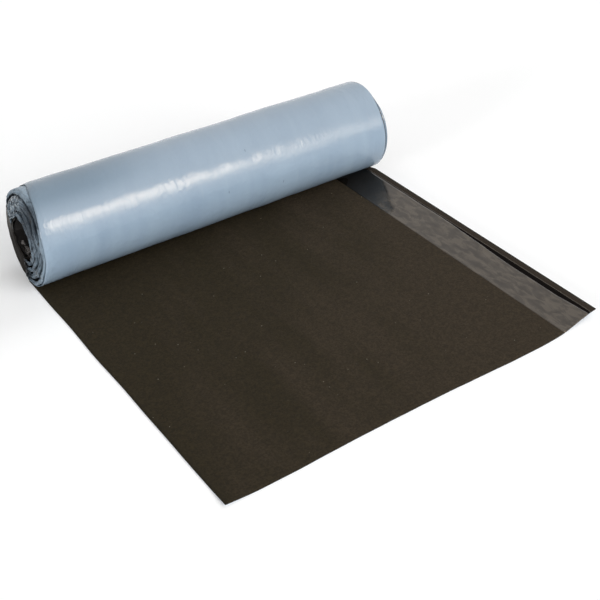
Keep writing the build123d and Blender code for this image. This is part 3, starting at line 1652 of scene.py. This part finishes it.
@dataclass
class LaidSheet:
    """The laid membrane and the film under it."""

    sizes: RollFrame
    layers: Layers
    form: LaidForm
    rows: int = 150
    field_columns: int = 110
    band_columns: int = 90
    film_columns: int = 90
    field_share: float = 0.965

    def spread(self, share: float) -> float:
        """Turns a share of the columns into a share of the width, with fine columns at the selvage.

        Args:
            share: The share of the columns.

        Returns:
            The share of the width.
        """
        columns = self.field_columns / (self.field_columns + self.band_columns)
        if share <= columns:
            return self.field_share * share / columns
        return blend(self.field_share, 1.0, (share - columns) / (1 - columns))

    def membrane_place(self, across: float, along: float) -> Vector:
        """A point of the membrane's top at two shares of its width and length."""
        x, y = across * self.form.width, along * self.sizes.laid_length
        return self.form.place(x, y, self.layers.pitch + self.form.ridge(x))

    def film_place(self, across: float, along: float) -> Vector:
        """A point of the film's top at two shares of its width and length."""
        x, y = across * self.form.width, along * self.sizes.laid_length
        return self.form.place(x, y, self.layers.film)

    def build_membrane(self, finish: bpy.types.Material) -> bpy.types.Object:
        """The laid membrane.

        Args:
            finish: The piece's material.

        Returns:
            The piece.
        """
        columns = self.field_columns + self.band_columns
        form = flat_grid(columns, self.rows, self.form.width, self.sizes.laid_length, self.spread)
        shape(form, self.membrane_place)
        return make_piece("laid_membrane", form, finish, Stock.MEMBRANE, self.layers.membrane)

    def build_film(self, finish: bpy.types.Material) -> bpy.types.Object:
        """The film under the laid membrane.

        Args:
            finish: The piece's material.

        Returns:
            The piece.
        """
        form = flat_grid(self.film_columns, self.rows // 2, self.form.width, self.sizes.laid_length)
        shape(form, self.film_place)
        return make_piece("laid_film", form, finish, Stock.FILM, self.layers.film)


@dataclass
class ClearStrip:
    """The clear strip on the selvage, just inside the bare seam."""

    sizes: RollFrame
    layers: Layers
    form: LaidForm
    columns: int = 26
    rows: int = 200
    thickness: float = 0.0003
    lifted: float = 0.0007

    def place(self, across: float, along: float) -> Vector:
        """A point of the strip's top at two shares of its width and length.

        Args:
            across: The share of the strip's width.
            along: The share of the sheet's length.

        Returns:
            The point, in metres.
        """
        y = along * self.sizes.laid_length
        near = self.sizes.half_width + self.sizes.strip_near + self.form.strip_wander * ripple(31.0, y * 9)
        x = blend(near, self.form.strip_far(y), across)
        loose = self.lifted * ease(across, 0.90, 1.0) * (0.5 + 0.5 * ripple(33.0, y * 22))
        return self.form.place(x, y, self.layers.pitch + self.thickness + loose)

    def build(self, finish: bpy.types.Material) -> bpy.types.Object:
        """The clear strip as one thin solid.

        Args:
            finish: The piece's material.

        Returns:
            The piece.
        """
        width = self.sizes.strip_far - self.sizes.strip_near
        form = flat_grid(self.columns, self.rows, width, self.sizes.laid_length)
        shape(form, self.place)
        return make_piece("clear_strip", form, finish, Stock.STRIP, self.thickness)


@dataclass
class BareSeam:
    """The bare bitumen in the seam between the clear strip and the hairline, pitch black as painted shade
    of the seam.
    """

    sizes: RollFrame
    layers: Layers
    form: LaidForm
    under: float = 0.004
    above: float = 0.00012
    thickness: float = 0.0005
    columns: int = 4
    rows: int = 160

    def place(self, across: float, along: float) -> Vector:
        """A point of the seam's floor at two shares of its width and length.

        Args:
            across: The share of the seam's width.
            along: The share of the sheet's length.

        Returns:
            The point, in metres.
        """
        y = along * self.sizes.laid_length
        x = blend(self.form.strip_far(y) - self.under, self.form.hairline, across)
        return self.form.place(x, y, self.layers.pitch + self.above)

    def build(self, finish: bpy.types.Material) -> bpy.types.Object:
        """The seam as one skin.

        Args:
            finish: The piece's material.

        Returns:
            The piece.
        """
        form = flat_grid(self.columns, self.rows, self.under, self.sizes.laid_length)
        shape(form, self.place)
        return make_piece("bare_seam", form, finish, Stock.MEMBRANE, self.thickness)


@dataclass(frozen=True)
class Panel:
    """One flat light that the film mirrors: its sides in X, its foot and head, and its brightness."""

    name: str
    left: float
    right: float
    low: float
    high: float
    glow: float


PANELS = (
    Panel("front_panel", left=0.08, right=0.88, low=1.47, high=2.29, glow=9.5),
    Panel("middle_panel", left=0.88, right=1.26, low=1.37, high=2.19, glow=11.0),
    Panel("under_panel", left=0.25, right=1.26, low=0.98, high=1.42, glow=4.5),
    Panel("right_panel", left=1.26, right=1.74, low=1.37, high=2.03, glow=2.8),
    Panel("low_panel", left=1.26, right=2.10, low=0.60, high=1.37, glow=2.8),
)


@dataclass(frozen=True)
class Sun:
    """One even, soft light from far away; only a shiny one shows as a reflection."""

    name: str
    source: Triple
    strength: float
    degrees_wide: float
    shiny: bool = False


SUNS = (
    Sun("front_sun", (0.35, -0.85, 0.45), strength=2.12, degrees_wide=40),
    Sun("high_sun", (0.20, -0.50, 0.85), strength=0.34, degrees_wide=40),
    Sun("right_sun", (0.80, 0.22, 0.52), strength=0.95, degrees_wide=28),
    Sun("left_sun", (-0.95, -0.20, 0.22), strength=0.90, degrees_wide=12, shiny=True),
)


@dataclass
class Studio:
    """The floor, the lights and the camera at the photograph's angle."""

    azimuth: float = math.radians(-34.9329)
    elevation: float = math.radians(36.1364)
    distance: float = 2.4736
    target: Triple = (-0.0175, -0.0607, 0.0)
    roll: float = math.radians(-0.4709)
    lens: float = 63.53
    sensor: float = 36.0
    floor_side: float = 24.0
    floor_drop: float = 0.0004
    sky: float = 0.40
    panel_colour: Colour = (1.0, 0.83, 0.65)
    panel_y: float = -1.80

    def set_camera(self) -> None:
        """Puts the camera where the photograph was taken from."""
        back = Vector((
            math.sin(self.azimuth) * math.cos(self.elevation),
            -math.cos(self.azimuth) * math.cos(self.elevation),
            math.sin(self.elevation),
        ))
        level = Vector((math.cos(self.azimuth), math.sin(self.azimuth), 0.0))
        upright = back.cross(level)
        right = math.cos(self.roll) * level + math.sin(self.roll) * upright
        up = back.cross(right)
        camera = bpy.data.objects.new("camera", bpy.data.cameras.new("camera"))
        camera.data.lens = self.lens
        camera.data.sensor_width = self.sensor
        place = Vector(self.target) + self.distance * back
        camera.matrix_world = Matrix.Translation(place) @ Matrix((right, up, back)).transposed().to_4x4()
        bpy.context.scene.collection.objects.link(camera)
        bpy.context.scene.camera = camera

    def lay_floor(self) -> None:
        """Lays the white floor just under the object."""
        form = bmesh.new()
        bmesh.ops.create_grid(form, x_segments=1, y_segments=1, size=self.floor_side / 2)
        bmesh.ops.translate(form, verts=form.verts, vec=(0, 0, -self.floor_drop))
        mesh = bpy.data.meshes.new("floor")
        form.to_mesh(mesh)
        form.free()
        mesh.materials.append(FloorFinish().material())
        floor = bpy.data.objects.new("floor", mesh)
        bpy.context.scene.collection.objects.link(floor)

    @staticmethod
    def hang(lamp: bpy.types.Object, place: Vector, towards: Vector) -> None:
        """Puts a lamp in the scene so that it shines from its place in this direction.

        Args:
            lamp: The lamp.
            place: Where it hangs.
            towards: The direction that it shines in.
        """
        turn = (-towards).to_track_quat("Z", "Y").to_matrix().to_4x4()
        lamp.matrix_world = Matrix.Translation(place) @ turn
        lamp.visible_camera = False
        bpy.context.scene.collection.objects.link(lamp)

    def add_panel(self, panel: Panel, aim: Vector) -> None:
        """Hangs a flat light that only shows as a reflection, facing the aim.

        Args:
            panel: The light.
            aim: The point that it faces.
        """
        light = bpy.data.lights.new(panel.name, "AREA")
        light.shape = "RECTANGLE"
        light.size, light.size_y = panel.right - panel.left, panel.high - panel.low
        light.energy = panel.glow * math.pi * light.size * light.size_y
        light.color = self.panel_colour
        lamp = bpy.data.objects.new(panel.name, light)
        lamp.visible_diffuse = False
        place = Vector(((panel.left + panel.right) / 2, self.panel_y, (panel.low + panel.high) / 2))
        self.hang(lamp, place, aim - place)

    def add_sun(self, sun: Sun) -> None:
        """Adds one of the soft lights from far away.

        Args:
            sun: The light.
        """
        light = bpy.data.lights.new(sun.name, "SUN")
        light.energy = sun.strength
        light.angle = math.radians(sun.degrees_wide)
        lamp = bpy.data.objects.new(sun.name, light)
        lamp.visible_glossy = sun.shiny
        source = Vector(sun.source)
        self.hang(lamp, source.normalized() * self.floor_side / 4, -source)

    def add_sky(self) -> None:
        """Adds a sky that lights the object plainly and looks white by itself and in mirrors."""
        bench = Bench(bpy.data.worlds.new("studio_sky"))
        dome = bench.add("ShaderNodeBackground", inputs={"Color": WHITE, "Strength": self.sky})
        backdrop = bench.add("ShaderNodeBackground", inputs={"Color": WHITE, "Strength": 1.0})
        inputs = {"Fac": bench.seen(), "Shader": dome, "Shader_001": backdrop}
        both = bench.add("ShaderNodeMixShader", inputs=inputs)
        bpy.context.scene.world = bench.shown(both, "ShaderNodeOutputWorld")

    def light_up(self, aim: Vector) -> None:
        """Lights the scene: a white sky, soft suns, and panels that only show as reflections.

        Args:
            aim: The point that the panels face.
        """
        for panel in PANELS:
            self.add_panel(panel, aim)
        for sun in SUNS:
            self.add_sun(sun)
        self.add_sky()

    def build(self, sizes: RollFrame) -> None:
        """Sets up the whole studio.

        Args:
            sizes: The sizes of the roll that it is set up round.
        """
        self.set_camera()
        self.lay_floor()
        self.light_up(Vector((0.0, sizes.axis_y, sizes.radius)))
        bpy.context.scene.view_settings.view_transform = "Standard"


def main() -> None:
    """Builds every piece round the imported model."""
    logging.basicConfig(level=logging.INFO, format="%(name)s %(message)s")
    sizes = RollFrame.from_model(frame["record"])
    layers = Layers()
    film = FilmFinish().material()
    roll = WoundRoll(sizes, layers)
    axis = (0.0, sizes.axis_y, sizes.radius)
    hollow = sizes.bore + 2 * layers.pitch
    roll.build(CutEdgeFinish(axis, layers.pitch, hollow).material())
    SmoothBack(sizes, roll).build(SmearedFinish().material())
    wrap = OuterWrap(sizes, layers)
    wrap.build(film)
    NextTurn(sizes, layers, wrap).build(film)
    EndFrills(sizes, layers, roll, wrap).build(CrushedFilmFinish(axis).material())
    torn = CrushedFilmFinish(axis, "torn_film", pale=(0.13, 0.12, 0.115), painted_shade_slate=(0.04, 0.035, 0.032))
    TornTails(sizes).build(torn.material())
    laid = LaidForm(sizes)
    membrane = MembraneFinish(laid.hairline).material()
    sheet = LaidSheet(sizes, layers, laid)
    sheet.build_membrane(membrane)
    sheet.build_film(film)
    BareSeam(sizes, layers, laid).build(PlainBlackFinish().material())
    ClearStrip(sizes, layers, laid).build(ClearStripFinish().material())
    Studio().build(sizes)


if __name__ == "__main__":
    main()
